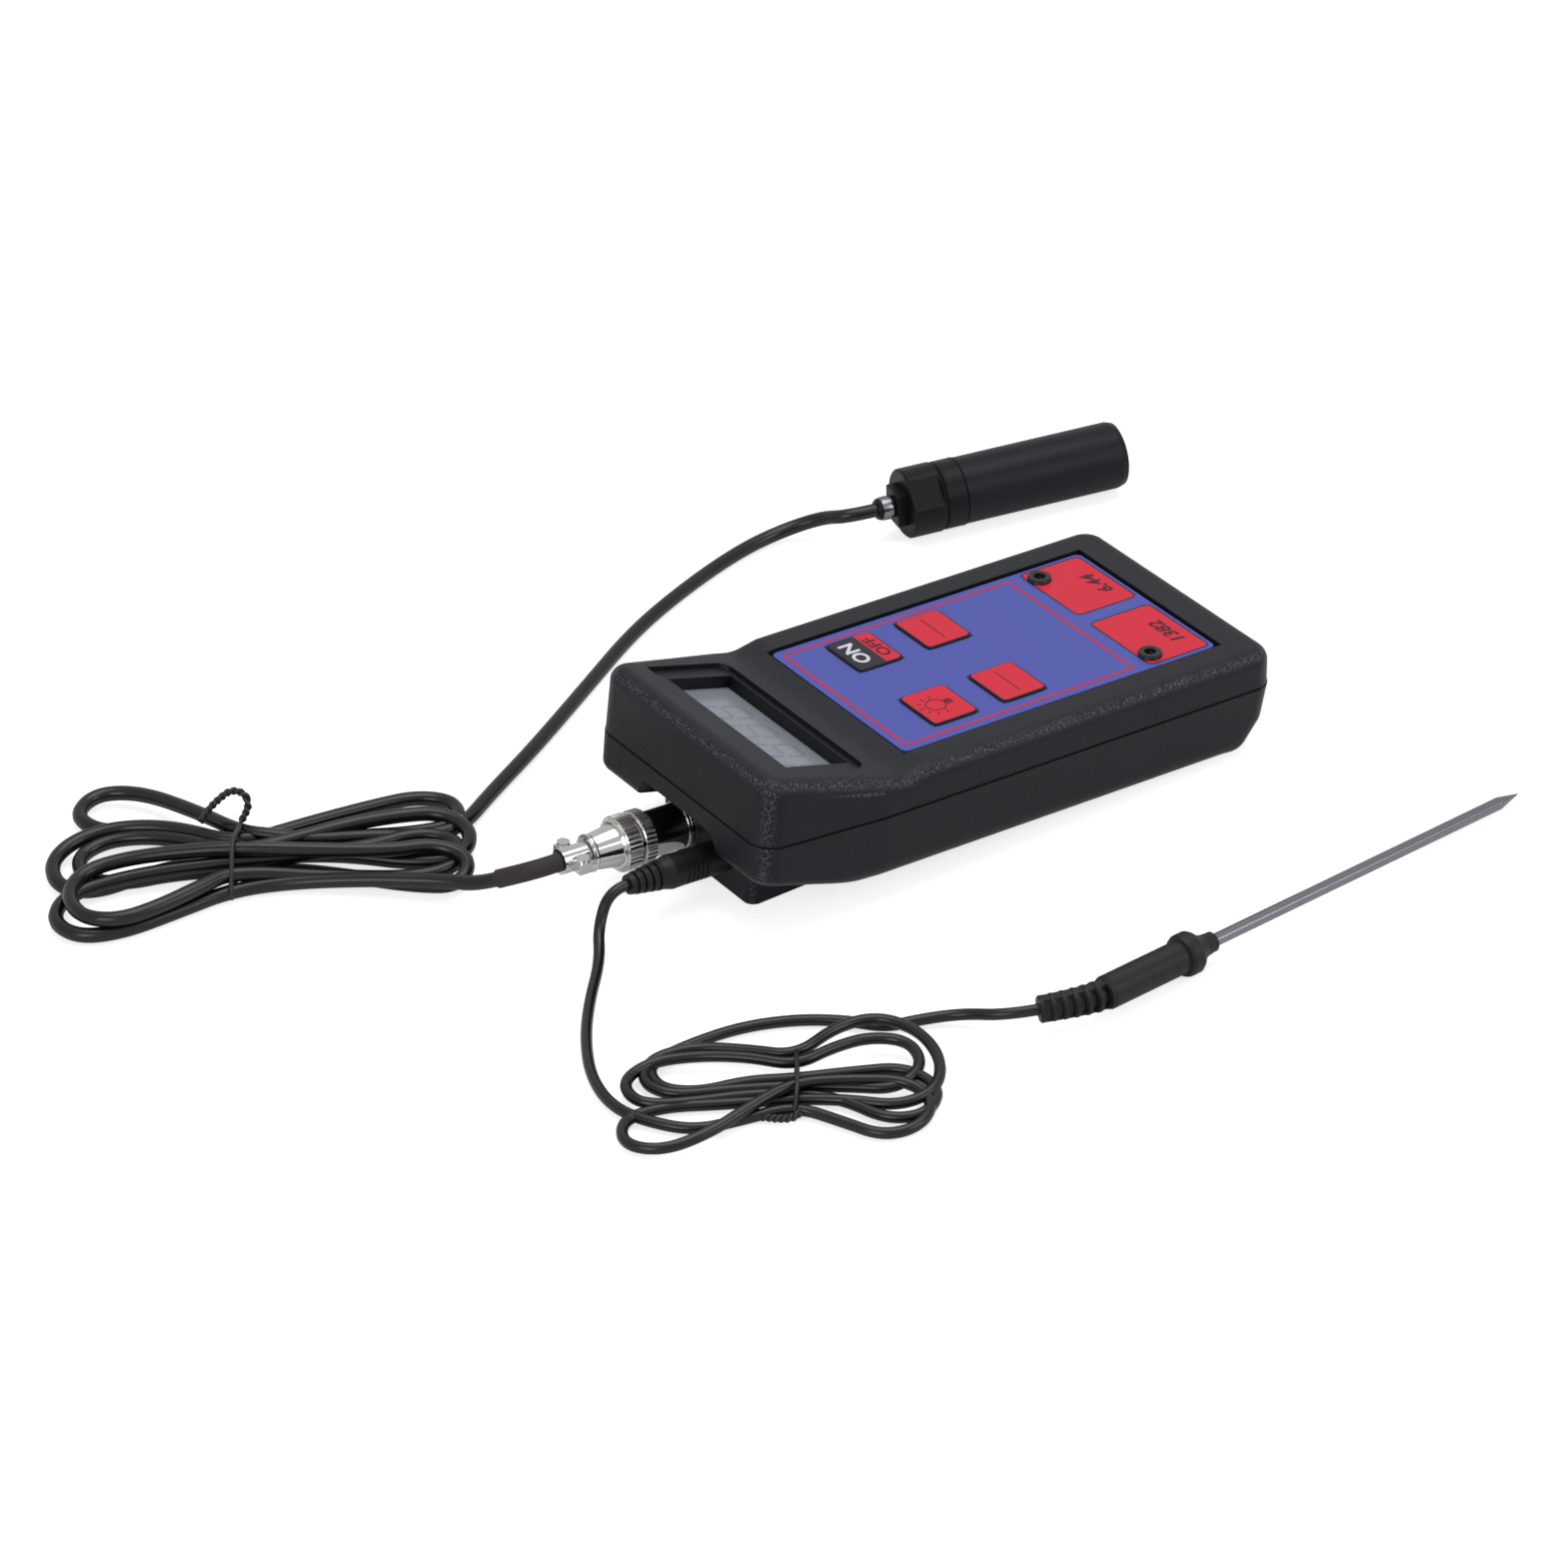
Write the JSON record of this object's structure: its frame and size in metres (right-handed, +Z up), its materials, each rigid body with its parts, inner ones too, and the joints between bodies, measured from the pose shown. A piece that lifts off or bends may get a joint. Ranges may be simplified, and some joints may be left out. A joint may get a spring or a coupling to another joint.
{
  "type": "tds meter",
  "caption": "Handheld meter with raised tilted display, key pad, screw-locked electrode connector, dip electrode and needle temperature probe on tied cords.",
  "frame": {"origin": "centre of the foot block's flat rest face, on the floor", "axes": "+Z up from the floor, +Y towards the display end and its connectors, +X to the right of the meter as it is read with the display at the top"},
  "size_m": [0.2596, 0.3582, 0.0462],
  "materials": {
    "case_shell": "spark-eroded",
    "label_blue": "satin",
    "key_red": "satin",
    "black_plastic": "moulded",
    "lcd_grey": "smooth",
    "board_green": "lacquered",
    "chrome": "polished",
    "steel": "plain",
    "brass": "plated",
    "grommet_grey": "soft",
    "battery_case": "printed",
    "electrode_grey": "turned",
    "cable_jacket": "smooth",
    "sleeve_grey": "matt",
    "tie_black": "plain"
  },
  "bodies": {
    "meter": {"upper_case": "case_shell", "lower_case": "case_shell", "battery_cover": "case_shell", "battery_screw": "steel", "battery_9v": "battery_case", "battery_snap": "black_plastic", "main_board": "board_green", "membrane_overlay": "label_blue", "lcd_frame": "black_plastic", "lcd_glass": "lcd_grey", "display_board": "board_green", "socket_shell": "chrome", "socket_nut": "brass", "socket_insert": "black_plastic", "plug_insert": "black_plastic", "plug_shell": "chrome", "cable_clamp": "chrome", "clamp_screw_near": "steel", "clamp_screw_far": "steel", "shrink_sleeve": "sleeve_grey", "temp_jack": "black_plastic", "temp_jack_nut": "brass", "temp_plug_pin": "brass", "temp_plug": "black_plastic", "tds_cable_in": "cable_jacket", "tds_hank": "cable_jacket", "tds_tie": "tie_black", "tds_cable_out": "cable_jacket", "electrode_gland": "electrode_grey", "electrode_cap": "electrode_grey", "electrode_seal": "electrode_grey", "electrode_sleeve": "electrode_grey", "electrode_core": "black_plastic", "electrode_pin_a": "steel", "electrode_pin_b": "steel", "temp_cable_in": "cable_jacket", "temp_hank": "cable_jacket", "temp_tie": "tie_black", "temp_cable_out": "cable_jacket", "probe_boot": "black_plastic", "probe_handle": "black_plastic", "probe_needle": "steel", "case_screw_1": "steel", "case_screw_2": "steel", "case_screw_3": "steel", "case_screw_4": "steel", "tact_switch_power": "black_plastic", "tact_switch_mode": "black_plastic", "tact_switch_light": "black_plastic", "tact_switch_unit": "black_plastic", "cal_grommet_far": "grommet_grey", "cal_grommet_near": "grommet_grey"},
    "collar": {"coupling_nut": "chrome"},
    "button_power": {"key_power": "key_red"},
    "button_mode": {"key_mode": "key_red"},
    "button_light": {"key_light": "key_red"},
    "button_unit": {"key_unit": "key_red"},
    "trim_far": {"trimmer_rotor_far": "brass"},
    "trim_near": {"trimmer_rotor_near": "brass"}
  },
  "joints": [
    {"name": "press_power", "type": "slide", "parent": "meter", "child": "button_power", "axis": [0, 0.0562, -0.9984], "range_m": [0, 0.0004], "stiffness_N_per_m": 1500, "springref_m": -0.0002},
    {"name": "press_mode", "type": "slide", "parent": "meter", "child": "button_mode", "axis": [0, 0.0562, -0.9984], "range_m": [0, 0.0004], "stiffness_N_per_m": 1500, "springref_m": -0.0002},
    {"name": "press_light", "type": "slide", "parent": "meter", "child": "button_light", "axis": [0, 0.0562, -0.9984], "range_m": [0, 0.0004], "stiffness_N_per_m": 1500, "springref_m": -0.0002},
    {"name": "press_unit", "type": "slide", "parent": "meter", "child": "button_unit", "axis": [0, 0.0562, -0.9984], "range_m": [0, 0.0004], "stiffness_N_per_m": 1500, "springref_m": -0.0002},
    {"name": "turn_trimmer_far", "type": "hinge", "parent": "meter", "child": "trim_far", "pos_m": [0.0243, -0.11176, 0.02815], "axis": [0, -0.0562, 0.9984], "range_deg": [-135, 135]},
    {"name": "turn_trimmer_near", "type": "hinge", "parent": "meter", "child": "trim_near", "pos_m": [-0.0243, -0.11176, 0.02815], "axis": [0, -0.0562, 0.9984], "range_deg": [-135, 135]},
    {"name": "turn_collar", "type": "hinge", "parent": "meter", "child": "collar", "pos_m": [0.0092, 0.02173, 0.01063], "axis": [0, 0.9966, 0.0823], "range_deg": [-270, 270]}
  ]
}
